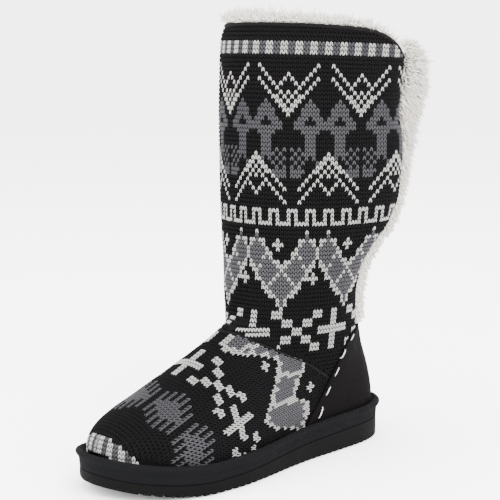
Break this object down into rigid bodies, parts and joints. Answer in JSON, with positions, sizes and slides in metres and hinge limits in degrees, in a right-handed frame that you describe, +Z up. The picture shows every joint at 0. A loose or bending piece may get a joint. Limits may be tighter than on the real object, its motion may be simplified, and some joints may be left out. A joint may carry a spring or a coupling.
{
  "type": "sweater boot",
  "caption": "Pull-on knitted boot with a patterned vamp and shaft, suede heel counter, plush back panel and collar, and a foam wedge sole with a wrapped rim",
  "frame": {"origin": "on the floor under the middle of the sole's length, on the flat face of the tread's middle rib", "axes": "+Z up, the toe points to -Y and the heel to +Y, the outer side of the left foot faces +X"},
  "size_m": [0.114, 0.3078, 0.3265],
  "materials": {
    "foam_rubber": "matt moulded foam rubber",
    "twill_wrap": "black cotton twill tape",
    "knit": "stranded wool-blend knit, black with grey motifs",
    "suede": "brushed black suede",
    "plush": "off-white long pile plush"
  },
  "bodies": {
    "root": {"outsole": "foam_rubber", "midsole": "twill_wrap", "insole": "plush", "vamp": "knit", "shaft": "knit", "heel_counter": "suede", "back_panel": "plush", "collar_plush": "plush"}
  },
  "joints": []
}
